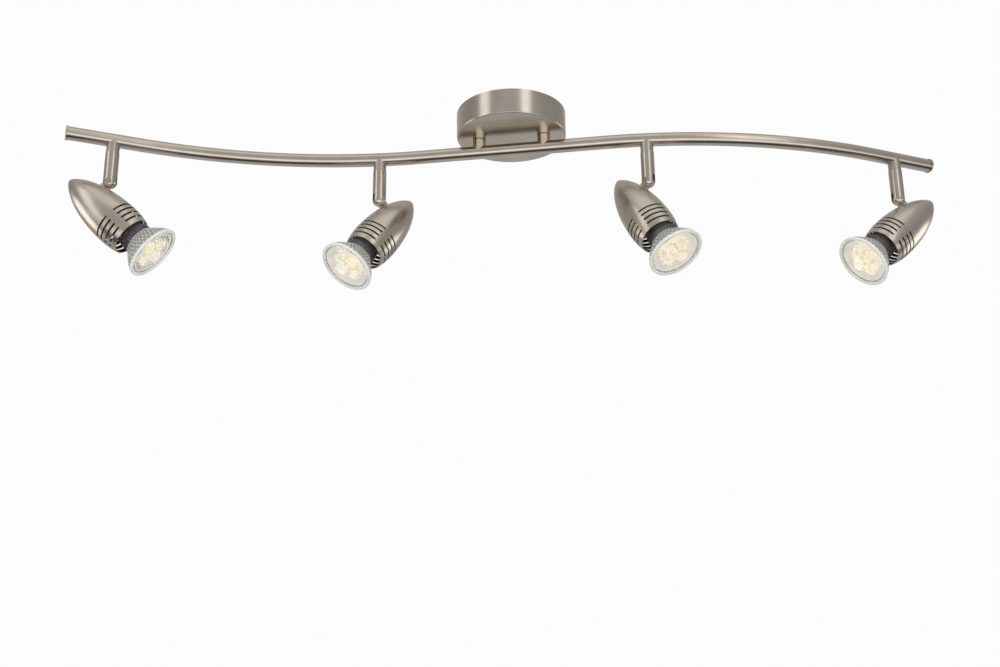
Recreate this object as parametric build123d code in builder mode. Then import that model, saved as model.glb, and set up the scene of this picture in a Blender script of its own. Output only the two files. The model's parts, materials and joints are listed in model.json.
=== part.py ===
from build123d import *
from math import atan2, copysign, cos, degrees, radians, sin, sqrt, tan
import os

# Ceiling bar fixture with four adjustable spots.
# Millimetres, +Z up. The origin is the middle of the ceiling face, and the fixture hangs below it.
# The bar runs along X. Its right half first bows to -Y and its left half to +Y.

# Ceiling rose
rose_diameter = 98.0
rose_height = 23.5
rose_wall = 1.0
rose_floor = 1.5
rose_edge_radius = 1.4
rose_edge_land = 0.1

# Strap that is screwed to the ceiling, inside the rose
strap_width = 20.0
strap_thickness = 1.5
strap_tab_width = 12.0
strap_tab_drop = 12.0
strap_end_gap = 0.4
strap_slot_spacing = 62.0
strap_slot_length = 12.0
strap_slot_width = 4.5

# Set screws between the rose and the strap's tabs
rose_screw_drop = 8.8
rose_screw_diameter = 4.0
rose_screw_gap = 0.1
rose_screw_length = 5.0
rose_screw_socket = 2.0
rose_screw_socket_depth = 1.8
rose_screw_flush = 0.2

# Terminal block under the strap, with a fixing screw between each two poles
terminal_end = 0.75
terminal_width = 16.0
terminal_base = 4.0
terminal_pole_width = 8.0
terminal_pole_depth = 15.0
terminal_pole_height = 7.0
terminal_pitch = 11.5
terminal_poles = 3
terminal_wire_hole = 3.4
terminal_wire_rise = 2.2
terminal_screw_diameter = 3.6
terminal_screw_spacing = 8.0
terminal_screw_sink = 1.2
terminal_screw_slot = 0.7
terminal_screw_slot_depth = 0.8
terminal_fixing_diameter = 2.0
terminal_fixing_head = 3.3
terminal_fixing_head_height = 1.4
terminal_fixing_gap = 0.2

# Earth screw through the strap, beside the terminal block
earth_screw_diameter = 4.0
earth_head_diameter = 7.0
earth_head_height = 2.2
earth_washer_diameter = 7.6
earth_washer_thickness = 0.8
earth_washer_gap = 0.3

# Bar
bar_span = 780.0
bar_diameter = 12.0
bar_wall = 1.0
bar_turn = 31.7
bar_middle_straight = 82.0
bar_end_straight = 62.0
bar_gap = 5.5
wire_bore = 5.0

# Standoffs between the rose and the bar
standoff_spacing = 58.5
standoff_diameter = 12.0
standoff_thread = 8.0
standoff_thread_length = 9.0
standoff_hole_gap = 0.1
standoff_edge = 0.5
standoff_washer_diameter = 14.0
standoff_washer_thickness = 1.0
standoff_nut_flats = 13.0
standoff_nut_height = 4.5

# End caps
cap_lip_overhang = 0.5
cap_lip = 2.2
cap_edge_radius = 0.7
cap_plug_length = 9.0
cap_plug_gap = 0.05

# Collars under the bar, each with a hollow spigot that its stem swivels on
spot_pitch = 234.0
collar_diameter = 11.4
collar_length = 7.0
spigot_diameter = 8.0
spigot_length = 9.5
groove_width = 1.8
groove_depth = 0.9
groove_place = 5.5
swivel_range = 160.0
swivel_stop_gap = 1.0

# Stems
stem_diameter = 12.0
stem_gap = 0.1
stem_spigot_gap = 0.05
stem_socket_room = 0.8
stem_reach = 27.9
stem_round_rise = 0.5
fork_slot = 2.5
fork_slot_depth = 5.6
swivel_screw_diameter = 3.0
swivel_screw_tip = 1.6
swivel_screw_tip_gap = 0.2
swivel_screw_socket = 1.5
swivel_screw_socket_depth = 1.0
swivel_screw_sink = 0.3

# Tilt pivot
pivot_screw_diameter = 3.0
pivot_screw_gap = 0.05
pivot_head_diameter = 5.0
pivot_head_gap = 0.1
pivot_head_height = 1.4
pivot_screw_end = 0.7
pivot_seat = 4.0
pivot_slot_width = 0.7
pivot_slot_depth = 0.6

# Flat tab of the head and the plate behind the lampholder
tab_thickness = 2.4
tab_radius = 4.4
tab_web_width = 9.0
tab_shoulder = 8.5
tab_back_drop = 2.5
tab_foot = 9.0
plate_thickness = 2.0
plate_width = 12.0

# Head: the lamp's rim is this far in front of the pivot, and the lamp's axis this much nearer to it
# than the shell's axis
lamp_reach = 76.5
lamp_offset = 2.4

# Shell, a body of revolution, measured from the tip of its nose
shell_length = 78.5
shell_radius = 20.0
shell_belly = 62.0
shell_mouth_radius = 17.9
shell_nose_blunt = 3.0
shell_nose_reach = 18.0
shell_wall = 0.9
shell_stem_gap = 0.7
shell_mouth_place = 25.5
shell_slit_gap = 0.05
shell_wire_room = 3.0
vent_rows = 4
vent_pitch = 4.95
vent_width = 1.7
vent_first = 4.3
vent_quarters = 4
vent_sweep = 68.0

# Lampholder and its screws
holder_width = 31.0
holder_depth = 17.0
holder_length = 15.0
holder_edge_radius = 0.8
holder_screw_spacing = 23.0
holder_screw_diameter = 3.0
holder_screw_gap = 0.2
holder_screw_head = 5.0
holder_screw_head_height = 1.8
holder_screw_recess = 2.4
holder_screw_slot = 0.7
holder_screw_slot_depth = 0.8
holder_face = 2.6
holder_pocket = 4.3
pin_gap = 0.2

# Lamp, measured back from the plane of its rim
lamp_diameter = 50.0
lamp_rim_edge = 1.8
lamp_rim_width = 2.9
lamp_ledge_width = 0.9
lamp_bowl_length = 17.6
lamp_bowl_radius = 14.0
lamp_bowl_swell = 4.2
lamp_bowl_swell_inset = 1.6
lamp_bowl_waist = 10.5
lamp_bowl_waist_inset = 8.0
lamp_wall = 1.6
lamp_length = 46.0
lamp_neck_radius = 14.0
lamp_neck_length = 4.5
lamp_taper_radius = 12.4
lamp_taper_length = 9.0
lamp_base_radius = 11.6
lamp_base_spigot = 1.1
lamp_fit_gap = 0.1
lamp_lens_recess = 1.2
lamp_lens_thickness = 1.6
pin_spacing = 10.0
pin_diameter = 3.0
pin_neck_length = 3.0
pin_foot_diameter = 4.8
pin_foot_length = 3.6
lock_turn = 45.0
holder_to_lamp = 0.3
board_thickness = 1.2
chip_size = 3.4
chip_height = 0.8
chip_circle = 7.6
chip_count = 4
collimator_front_radius = 4.2
collimator_back_radius = 2.4
collimator_gap = 0.3

# Spots: place along the bar in pitches from the middle, heading about +Z, tilt below level
spots = (
    {"place": -1.5, "heading": -4.9, "tilt": 42.7},
    {"place": -0.5, "heading": 210.7, "tilt": 51.2},
    {"place": 0.5, "heading": -47.9, "tilt": 57.2},
    {"place": 1.5, "heading": 191.2, "tilt": 41.8},
)
home_heading = -90.0

# Values worked out from the sizes above
rose_radius = rose_diameter / 2
rose_inside = rose_radius - rose_wall
bar_radius = bar_diameter / 2
bar_level = -(rose_height + bar_gap + bar_radius)
collar_level = bar_level - bar_radius - collar_length
stem_top = collar_level - stem_gap
pivot_level = stem_top - stem_reach
stem_radius = stem_diameter / 2
terminal_half = (terminal_poles - 1) * terminal_pitch / 2 + terminal_pole_width / 2 + terminal_end
earth_screw_place = terminal_half + earth_washer_gap + earth_washer_diameter / 2
strap_half = sqrt(rose_inside**2 - (strap_tab_width / 2) ** 2) - strap_end_gap
holder_front = lamp_length + holder_to_lamp
holder_back = holder_front + holder_length
pin_radius = pin_spacing / 2
rim_radius = lamp_diameter / 2
window_radius = rim_radius - lamp_rim_width
ledge_radius = window_radius - lamp_ledge_width
bowl_hole = lamp_bowl_radius - lamp_wall
board_front = lamp_bowl_length - lamp_base_spigot - board_thickness
lock_arcs = [CenterArc((0, 0), pin_radius, start, lock_turn) for start in (0, 180)]


def nose_points(wall):
    """Control points of the bullet's outline from nose to belly, moved in by this wall."""
    nose = wall - shell_length
    radius = shell_radius - wall
    share = radius / shell_radius
    return [
        (nose, 0),
        (nose, shell_nose_blunt * share),
        (nose + (shell_nose_reach - wall) * share, radius),
        (shell_belly - shell_length, radius),
    ]


# The shell's axis is as far below the pivot as its radius there, the stem's end and a gap need
pivot_line = Axis((shell_mouth_place - lamp_reach, 0, 0), (0, 1, 0))
radius_at_pivot = Bezier(*nose_points(0)).find_intersection_points(pivot_line)[0].Y
shell_drop = radius_at_pivot + stem_radius - stem_round_rise + shell_stem_gap
lamp_drop = shell_drop - lamp_offset


def finish(piece, name):
    piece.part.label = name
    export_step(piece.part, f"parts/{name}.step")


# The bar's right half is a straight, an arc that turns to the left and a straight.
# The arc's radius follows from the span, and the whole half is turned so that it ends on +X.
half_span = bar_span / 2
turn_sine = sin(radians(bar_turn))
turn_rise = 1 - cos(radians(bar_turn))
straight_run = bar_middle_straight + bar_end_straight * cos(radians(bar_turn))
straight_rise = bar_end_straight * turn_sine
cross_term = straight_run * turn_sine + straight_rise * turn_rise
square_term = turn_sine**2 + turn_rise**2
bar_bend_radius = (
    sqrt(cross_term**2 - square_term * (straight_run**2 + straight_rise**2 - half_span**2)) - cross_term
) / square_term
bar_run = straight_run + bar_bend_radius * turn_sine
bar_rise = straight_rise + bar_bend_radius * turn_rise
middle_slope = -degrees(atan2(bar_rise, bar_run))
middle_direction = Vector(1, 0).rotate(Axis.Z, middle_slope)
end_slope = middle_slope + bar_turn
bend_start = middle_direction * bar_middle_straight
bend_centre = bend_start + Vector(0, bar_bend_radius).rotate(Axis.Z, middle_slope)
bend_end = bend_centre + Vector(0, -bar_bend_radius).rotate(Axis.Z, end_slope)
end_direction = Vector(1, 0).rotate(Axis.Z, end_slope)
tube_end = Vector(half_span, 0) - end_direction * cap_lip
level = Vector(0, 0, bar_level)


def bar_offset(place):
    """Y of the bar's axis at this X."""
    reach = abs(place)
    if reach < bend_start.X:
        offset_y = reach * tan(radians(middle_slope))
    elif reach < bend_end.X:
        offset_y = bend_centre.Y - sqrt(bar_bend_radius**2 - (reach - bend_centre.X) ** 2)
    else:
        offset_y = bend_end.Y + (reach - bend_end.X) * tan(radians(end_slope))
    return copysign(1, place) * offset_y


def bar_solid(radius):
    """Round bar of this radius along the bar's whole axis."""
    with BuildPart() as solid:
        with BuildLine() as path:
            Line(level - tube_end, level - bend_end)
            JernArc(level - bend_end, end_direction, bar_bend_radius, -bar_turn)
            Line(level - bend_start, level + bend_start)
            JernArc(level + bend_start, middle_direction, bar_bend_radius, bar_turn)
            Line(level + bend_end, level + tube_end)
        with BuildSketch(Plane(origin=level - tube_end, z_dir=end_direction)):
            Circle(radius)
        sweep(path=path.wire())
    return solid.part


bar_blank = bar_solid(bar_radius)
bar_bore = bar_solid(bar_radius - bar_wall)
standoff_places = [middle_direction * (side * standoff_spacing / 2) for side in (-1, 1)]
collar_places = [Vector(spot["place"] * spot_pitch, bar_offset(spot["place"] * spot_pitch)) for spot in spots]
screw_level = -rose_screw_drop


def make_rose():
    with BuildPart() as rose:
        with BuildSketch(Plane.XY.offset(-rose_height)):
            Circle(rose_radius)
        extrude(amount=rose_height)
        fillet(rose.edges().group_by(Axis.Z)[0], min(rose_edge_radius, rose_floor - rose_edge_land))
        with BuildSketch(Plane.XY.offset(rose_floor - rose_height)):
            Circle(rose_inside)
        extrude(amount=rose_height, mode=Mode.SUBTRACT)
        with BuildSketch(Plane.XY.offset(-rose_height)):
            with Locations(*standoff_places):
                Circle(standoff_thread / 2 + standoff_hole_gap)
        extrude(amount=rose_floor, mode=Mode.SUBTRACT)
        with BuildSketch(Plane.YZ.offset(-rose_radius)):
            with Locations((0, screw_level)):
                Circle(rose_screw_diameter / 2 + rose_screw_gap)
        extrude(amount=rose_diameter, mode=Mode.SUBTRACT)
    finish(rose, "ceiling_rose")


def make_strap():
    with BuildPart() as strap:
        with BuildSketch(Plane.XY.offset(-strap_thickness)) as outline:
            Rectangle(2 * strap_half, strap_width)
            chamfer(outline.vertices(), (strap_width - strap_tab_width) / 2)
            with GridLocations(strap_slot_spacing, 0, 2, 1):
                SlotOverall(strap_slot_length, strap_slot_width, mode=Mode.SUBTRACT)
            with GridLocations(terminal_pitch, 0, terminal_poles - 1, 1):
                Circle(terminal_fixing_diameter / 2, mode=Mode.SUBTRACT)
            with Locations((earth_screw_place, 0)):
                Circle(earth_screw_diameter / 2, mode=Mode.SUBTRACT)
        extrude(amount=strap_thickness)
        for side in (-1, 1):
            tab_middle = side * (strap_half - strap_thickness / 2)
            with BuildSketch(Plane.XY.offset(-strap_thickness)):
                with Locations((tab_middle, 0)):
                    Rectangle(strap_thickness, strap_tab_width)
            extrude(amount=-strap_tab_drop)
        with BuildSketch(Plane.YZ.offset(-strap_half)):
            with Locations((0, screw_level)):
                Circle(rose_screw_diameter / 2)
        extrude(amount=2 * strap_half, mode=Mode.SUBTRACT)
    finish(strap, "mounting_bracket")


def make_rose_screws():
    with BuildPart() as screws:
        for side in (-1, 1):
            outer = Plane(origin=(side * rose_radius, 0, screw_level), z_dir=(side, 0, 0))
            with BuildSketch(outer.offset(-rose_screw_flush)):
                Circle(rose_screw_diameter / 2)
                RegularPolygon(rose_screw_socket / 2, 6, major_radius=False, mode=Mode.SUBTRACT)
            extrude(amount=-rose_screw_socket_depth)
            with BuildSketch(outer.offset(-rose_screw_flush - rose_screw_socket_depth)):
                Circle(rose_screw_diameter / 2)
            extrude(amount=rose_screw_socket_depth - rose_screw_length)
    finish(screws, "rose_screws")


def make_terminal_block():
    base_level = -(strap_thickness + terminal_base)
    with BuildPart() as block:
        with BuildSketch(Plane.XY.offset(-strap_thickness)):
            Rectangle(2 * terminal_half, terminal_width)
            with GridLocations(terminal_pitch, 0, terminal_poles - 1, 1):
                Circle(terminal_fixing_diameter / 2 + terminal_fixing_gap, mode=Mode.SUBTRACT)
        extrude(amount=-terminal_base)
        with BuildSketch(Plane.XY.offset(base_level)):
            with GridLocations(terminal_pitch, 0, terminal_poles, 1):
                Rectangle(terminal_pole_width, terminal_pole_depth)
        extrude(amount=-terminal_pole_height)
        with BuildSketch(Plane.XY.offset(base_level - terminal_pole_height)):
            with GridLocations(terminal_pitch, terminal_screw_spacing, terminal_poles, 2):
                Circle(terminal_screw_diameter / 2)
        extrude(amount=terminal_pole_height - terminal_wire_rise, mode=Mode.SUBTRACT)
        with BuildSketch(Plane.XZ.offset(-terminal_width / 2)):
            with Locations((0, base_level - terminal_wire_rise)):
                with GridLocations(terminal_pitch, 0, terminal_poles, 1):
                    Circle(terminal_wire_hole / 2)
        extrude(amount=terminal_width, mode=Mode.SUBTRACT)
    finish(block, "terminal_block")


def make_terminal_screws():
    base_level = -(strap_thickness + terminal_base)
    pole_end = base_level - terminal_pole_height
    wire_edge = base_level - terminal_wire_rise - terminal_wire_hole / 2
    with BuildPart() as screws:
        with BuildSketch(Plane.XY.offset(pole_end + terminal_screw_sink)):
            with GridLocations(terminal_pitch, terminal_screw_spacing, terminal_poles, 2):
                Circle(terminal_screw_diameter / 2)
        extrude(amount=wire_edge - pole_end - terminal_screw_sink)
        with BuildSketch(Plane.XY.offset(pole_end + terminal_screw_sink)):
            with GridLocations(terminal_pitch, terminal_screw_spacing, terminal_poles, 2):
                Rectangle(terminal_screw_diameter, terminal_screw_slot)
        extrude(amount=terminal_screw_slot_depth, mode=Mode.SUBTRACT)
        with BuildSketch(Plane.XY.offset(base_level)):
            with GridLocations(terminal_pitch, 0, terminal_poles - 1, 1):
                Circle(terminal_fixing_head / 2)
        extrude(amount=-terminal_fixing_head_height)
        with BuildSketch(Plane.XY.offset(base_level)):
            with GridLocations(terminal_pitch, 0, terminal_poles - 1, 1):
                Circle(terminal_fixing_diameter / 2)
        extrude(amount=terminal_base + strap_thickness)
        with BuildSketch(Plane.XY.offset(base_level - terminal_fixing_head_height)):
            with GridLocations(terminal_pitch, 0, terminal_poles - 1, 1):
                Rectangle(terminal_fixing_head, terminal_screw_slot)
        extrude(amount=terminal_screw_slot_depth, mode=Mode.SUBTRACT)
    finish(screws, "terminal_screws")


def make_earth_screw():
    washer_level = -(strap_thickness + earth_washer_thickness)
    with BuildPart() as screw:
        with BuildSketch(Plane.XY.offset(washer_level)):
            with Locations((earth_screw_place, 0)):
                Circle(earth_washer_diameter / 2)
        extrude(amount=earth_washer_thickness)
        with BuildSketch(Plane.XY.offset(washer_level)):
            with Locations((earth_screw_place, 0)):
                Circle(earth_head_diameter / 2)
        extrude(amount=-earth_head_height)
        with BuildSketch(Plane.XY.offset(-strap_thickness)):
            with Locations((earth_screw_place, 0)):
                Circle(earth_screw_diameter / 2)
        extrude(amount=strap_thickness)
        with BuildSketch(Plane.XY.offset(washer_level - earth_head_height)):
            with Locations((earth_screw_place, 0)):
                Rectangle(earth_head_diameter, terminal_screw_slot)
        extrude(amount=terminal_screw_slot_depth, mode=Mode.SUBTRACT)
    finish(screw, "earth_screw")


def make_standoffs():
    with BuildPart() as standoffs:
        with BuildSketch(Plane.XY.offset(bar_level)):
            with Locations(*standoff_places):
                Circle(standoff_diameter / 2)
        extrude(amount=-bar_level - rose_height)
        chamfer(standoffs.edges().group_by(Axis.Z)[-1], standoff_edge)
        add(bar_blank, mode=Mode.SUBTRACT)
        with BuildSketch(Plane.XY.offset(-rose_height)):
            with Locations(*standoff_places):
                Circle(standoff_thread / 2)
        extrude(amount=standoff_thread_length)
        with BuildSketch(Plane.XY.offset(bar_level)):
            with Locations(*standoff_places):
                Circle(wire_bore / 2)
        extrude(amount=-bar_level, mode=Mode.SUBTRACT)
    finish(standoffs, "standoffs")


def make_standoff_washers():
    with BuildPart() as washers:
        with BuildSketch(Plane.XY.offset(rose_floor - rose_height)):
            with Locations(*standoff_places):
                Circle(standoff_washer_diameter / 2)
            with Locations(*standoff_places):
                Circle(standoff_thread / 2 + standoff_hole_gap, mode=Mode.SUBTRACT)
        extrude(amount=standoff_washer_thickness)
    finish(washers, "standoff_washers")


def make_standoff_nuts():
    with BuildPart() as nuts:
        with BuildSketch(Plane.XY.offset(rose_floor + standoff_washer_thickness - rose_height)):
            with Locations(*standoff_places):
                RegularPolygon(standoff_nut_flats / 2, 6, major_radius=False)
            with Locations(*standoff_places):
                Circle(standoff_thread / 2, mode=Mode.SUBTRACT)
        extrude(amount=standoff_nut_height)
    finish(nuts, "standoff_nuts")


def make_bar():
    with BuildPart() as bar:
        add(bar_blank)
        add(bar_bore, mode=Mode.SUBTRACT)
        with BuildSketch(Plane.XY.offset(bar_level)):
            with Locations(*standoff_places):
                Circle(wire_bore / 2)
        extrude(amount=bar_radius, mode=Mode.SUBTRACT)
        with BuildSketch(Plane.XY.offset(bar_level)):
            with Locations(*collar_places):
                Circle(wire_bore / 2)
        extrude(amount=-bar_radius, mode=Mode.SUBTRACT)
    finish(bar, "s_bar")


def make_end_caps():
    with BuildPart() as caps:
        for side in (-1, 1):
            face = Plane(origin=level + side * tube_end, z_dir=side * end_direction)
            with BuildSketch(face):
                Circle(bar_radius + cap_lip_overhang)
            lip = extrude(amount=cap_lip)
            outer_face = lip.faces().sort_by(Axis(face.origin, face.z_dir))[-1]
            fillet(outer_face.edges(), cap_edge_radius)
            with BuildSketch(face):
                Circle(bar_radius - bar_wall - cap_plug_gap)
            extrude(amount=-cap_plug_length)
    finish(caps, "end_caps")


def turned(angle, place=(0, 0, 0)):
    """Upright plane through this place, with its X this far round from +X and its Y up."""
    across = (cos(radians(angle)), sin(radians(angle)), 0)
    return Plane(origin=place, x_dir=across, z_dir=(across[1], -across[0], 0))


def make_collars():
    groove_radius = spigot_diameter / 2 - groove_depth
    tip_angle = degrees(atan2(swivel_screw_tip / 2, groove_radius))
    land_half = 180 - swivel_range - tip_angle - swivel_stop_gap
    collar_height = bar_level - collar_level
    with BuildPart() as collars:
        with BuildSketch(Plane.XY.offset(collar_level)):
            with Locations(*collar_places):
                Circle(collar_diameter / 2)
        extrude(amount=collar_height)
        add(bar_blank, mode=Mode.SUBTRACT)
        with BuildSketch(Plane.XY.offset(collar_level)):
            with Locations(*collar_places):
                Circle(spigot_diameter / 2)
        extrude(amount=-spigot_length)
        with BuildSketch(Plane.XY.offset(collar_level - spigot_length)):
            with Locations(*collar_places):
                Circle(wire_bore / 2)
        extrude(amount=spigot_length + collar_height, mode=Mode.SUBTRACT)
        for place in collar_places:
            with BuildSketch(turned(home_heading + land_half, place)):
                with Locations((groove_radius, collar_level - groove_place)):
                    Rectangle(2 * groove_depth, groove_width, align=(Align.MIN, Align.CENTER))
            axis = Axis(place, (0, 0, 1))
            revolve(axis=axis, revolution_arc=360 - 2 * land_half, mode=Mode.SUBTRACT)
    finish(collars, "stem_collars")


class Frame:
    """Directions and places of one spot."""

    def __init__(self, spot, place):
        heading = radians(spot["heading"])
        tilt = radians(spot["tilt"])
        self.heading = spot["heading"]
        self.place = place
        self.pivot = Vector(place.X, place.Y, pivot_level)
        self.hinge = Vector(sin(heading), -cos(heading), 0)
        self.light = Vector(cos(heading) * cos(tilt), sin(heading) * cos(tilt), -sin(tilt))
        self.head = Plane(origin=self.pivot, x_dir=self.light, z_dir=self.hinge)
        rim = self.head.from_local_coords(Vector(lamp_reach, -lamp_drop, 0))
        mouth = self.head.from_local_coords(Vector(lamp_reach - shell_mouth_place, -shell_drop, 0))
        self.lamp = Plane(origin=rim, x_dir=self.light, z_dir=self.hinge)
        self.shell = Plane(origin=mouth, x_dir=self.light, z_dir=self.hinge)
        self.lamp_axis = Axis(rim, self.light)
        self.shell_axis = Axis(mouth, self.light)

    def across_lamp(self, back):
        """Plane square to the lamp's axis, this far behind its rim, with X along the tilt hinge."""
        middle = self.lamp.from_local_coords(Vector(-back, 0, 0))
        return Plane(origin=middle, x_dir=self.hinge, z_dir=self.light)

    def around_shell(self, angle):
        """The shell's half-section plane, turned this far about the shell's axis from the tab's side."""
        normal = self.hinge.rotate(Axis((0, 0, 0), self.light), angle)
        return Plane(origin=self.shell.origin, x_dir=self.light, z_dir=normal)

    def back_of_stem(self):
        """Plane square to the swivel screw, on the stem's axis, with Y up."""
        away = Vector(-cos(radians(self.heading)), -sin(radians(self.heading)), 0)
        height = collar_level - groove_place
        return Plane(origin=(self.place.X, self.place.Y, height), x_dir=self.hinge, z_dir=away)


def make_stem(frame, number):
    round_level = pivot_level + stem_round_rise
    slot_top = pivot_level + fork_slot_depth
    socket_depth = spigot_length + stem_socket_room
    fork = turned(frame.heading, frame.pivot)
    with BuildPart() as stem:
        with BuildSketch(Plane.XY.offset(stem_top)):
            with Locations(frame.place):
                Circle(stem_radius)
        extrude(amount=round_level - stem_top)
        with Locations((frame.place.X, frame.place.Y, round_level)):
            Sphere(stem_radius)
        with BuildSketch(Plane.XY.offset(stem_top)):
            with Locations(frame.place):
                Circle(spigot_diameter / 2 + stem_spigot_gap)
        extrude(amount=-socket_depth, mode=Mode.SUBTRACT)
        with BuildSketch(Plane.XY.offset(stem_top)):
            with Locations(frame.place):
                Circle(wire_bore / 2)
        extrude(amount=slot_top - stem_top, mode=Mode.SUBTRACT)
        with BuildSketch(fork):
            with Locations((0, fork_slot_depth)):
                Rectangle(stem_diameter, 2 * stem_diameter, align=(Align.CENTER, Align.MAX))
        extrude(amount=fork_slot / 2, both=True, mode=Mode.SUBTRACT)
        with BuildSketch(fork):
            Circle(pivot_screw_diameter / 2)
        extrude(amount=-stem_radius, mode=Mode.SUBTRACT)
        with BuildSketch(fork):
            Circle(pivot_screw_diameter / 2 + pivot_screw_gap)
        extrude(amount=stem_radius, mode=Mode.SUBTRACT)
        with BuildSketch(fork.offset(pivot_seat)):
            Circle(pivot_head_diameter / 2 + pivot_head_gap)
        extrude(amount=stem_radius, mode=Mode.SUBTRACT)
        with BuildSketch(frame.back_of_stem()):
            Circle(swivel_screw_diameter / 2)
        extrude(amount=stem_radius, mode=Mode.SUBTRACT)
    finish(stem, f"stem_{number}")


def make_swivel_screw(frame, number):
    tip_end = spigot_diameter / 2 - groove_depth + swivel_screw_tip_gap
    thread_end = spigot_diameter / 2 + stem_spigot_gap + swivel_screw_tip_gap
    place = frame.back_of_stem()
    with BuildPart() as screw:
        with BuildSketch(place.offset(tip_end)):
            Circle(swivel_screw_tip / 2)
        extrude(amount=thread_end - tip_end)
        with BuildSketch(place.offset(thread_end)):
            Circle(swivel_screw_diameter / 2)
        extrude(amount=stem_radius - swivel_screw_sink - thread_end)
        with BuildSketch(place.offset(stem_radius - swivel_screw_sink)):
            RegularPolygon(swivel_screw_socket / 2, 6, major_radius=False)
        extrude(amount=-swivel_screw_socket_depth, mode=Mode.SUBTRACT)
    finish(screw, f"swivel_screw_{number}")


def make_pivot_screw(frame, number):
    fork = turned(frame.heading, frame.pivot)
    with BuildPart() as screw:
        with BuildSketch(fork.offset(pivot_screw_end - stem_radius)):
            Circle(pivot_screw_diameter / 2)
        extrude(amount=stem_radius - pivot_screw_end + pivot_seat)
        with BuildSketch(fork.offset(pivot_seat)):
            Circle(pivot_head_diameter / 2)
        extrude(amount=pivot_head_height)
        with BuildSketch(fork.offset(pivot_seat + pivot_head_height)):
            Rectangle(pivot_slot_width, pivot_head_diameter)
        extrude(amount=-pivot_slot_depth, mode=Mode.SUBTRACT)
    finish(screw, f"pivot_screw_{number}")


def make_tilt_bracket(frame, number):
    plate_front = lamp_reach - holder_back
    half_web = tab_web_width / 2
    with BuildPart() as bracket:
        with BuildSketch(frame.head):
            Circle(tab_radius)
            with BuildLine():
                Polyline(
                    (-half_web, 0),
                    (half_web, 0),
                    (half_web, -tab_shoulder),
                    (plate_front, plate_width / 2 - lamp_drop),
                    (plate_front, -lamp_drop),
                    (plate_front - tab_foot, -lamp_drop),
                    (-half_web, -tab_shoulder - tab_back_drop),
                    close=True,
                )
            make_face()
        extrude(amount=tab_thickness / 2, both=True)
        with BuildSketch(frame.head):
            Circle(pivot_screw_diameter / 2 + pivot_screw_gap)
        extrude(amount=tab_thickness / 2, both=True, mode=Mode.SUBTRACT)
        with BuildSketch(frame.across_lamp(holder_back)):
            SlotOverall(holder_width, plate_width)
        extrude(amount=-plate_thickness)
        with BuildSketch(frame.across_lamp(holder_back)):
            with GridLocations(holder_screw_spacing, 0, 2, 1):
                Circle(holder_screw_diameter / 2)
        extrude(amount=-plate_thickness, mode=Mode.SUBTRACT)
    finish(bracket, f"tilt_bracket_{number}")


def shell_section(wall):
    """Half section of the bullet, moved in by this wall."""
    mouth_radius = shell_mouth_radius - wall
    with BuildSketch(mode=Mode.PRIVATE) as section:
        with BuildLine():
            nose = Bezier(*nose_points(wall))
            belly = TangentArc(nose @ 1, (0, mouth_radius), tangent=nose % 1)
            Polyline(belly @ 1, (0, 0), nose @ 0)
        make_face()
    return section.sketch


def make_shell(frame, number):
    slit_back = tab_web_width / 2 + shell_slit_gap + shell_wire_room
    slit_front = tab_web_width / 2 + shell_slit_gap
    with BuildPart() as shell:
        with BuildSketch(frame.shell):
            add(shell_section(0))
            add(shell_section(shell_wall), mode=Mode.SUBTRACT)
        revolve(axis=frame.shell_axis)
        with BuildSketch(frame.head):
            with Locations((0, -shell_drop)):
                Rectangle(slit_front, shell_drop, align=(Align.MIN, Align.MIN))
                Rectangle(slit_back, shell_drop, align=(Align.MAX, Align.MIN))
        extrude(amount=tab_thickness / 2 + shell_slit_gap, both=True, mode=Mode.SUBTRACT)
        for quarter in range(vent_quarters):
            angle = (quarter + 0.5) * 360 / vent_quarters - vent_sweep / 2
            with BuildSketch(frame.around_shell(angle)):
                for row in range(vent_rows):
                    with Locations((-vent_first - row * vent_pitch, shell_mouth_radius / 2)):
                        Rectangle(vent_width, shell_radius, align=(Align.MAX, Align.MIN))
            revolve(axis=frame.shell_axis, revolution_arc=vent_sweep, mode=Mode.SUBTRACT)
    finish(shell, f"shell_{number}")


def make_lampholder(frame, number):
    front = frame.across_lamp(holder_front)
    pocket = frame.across_lamp(holder_front + holder_face)
    with BuildPart() as holder:
        with BuildSketch(front):
            SlotOverall(holder_width, holder_depth)
        extrude(amount=-holder_length)
        fillet(holder.faces().sort_by(frame.lamp_axis)[-1].edges(), holder_edge_radius)
        with BuildSketch(front):
            with GridLocations(holder_screw_spacing, 0, 2, 1):
                Circle(holder_screw_diameter / 2 + holder_screw_gap)
        extrude(amount=-holder_length, mode=Mode.SUBTRACT)
        with BuildSketch(front):
            with GridLocations(holder_screw_spacing, 0, 2, 1):
                Circle(holder_screw_head / 2 + holder_screw_gap)
        extrude(amount=-holder_screw_recess, mode=Mode.SUBTRACT)
        with BuildSketch(front):
            for lock_arc in lock_arcs:
                SlotArc(lock_arc, pin_diameter + 2 * pin_gap)
            with PolarLocations(pin_radius, 2, start_angle=lock_turn):
                Circle(pin_foot_diameter / 2 + pin_gap)
        extrude(amount=-holder_face, mode=Mode.SUBTRACT)
        with BuildSketch(pocket):
            for lock_arc in lock_arcs:
                SlotArc(lock_arc, pin_foot_diameter + 2 * pin_gap)
        extrude(amount=-holder_pocket, mode=Mode.SUBTRACT)
    finish(holder, f"lampholder_{number}")


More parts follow.
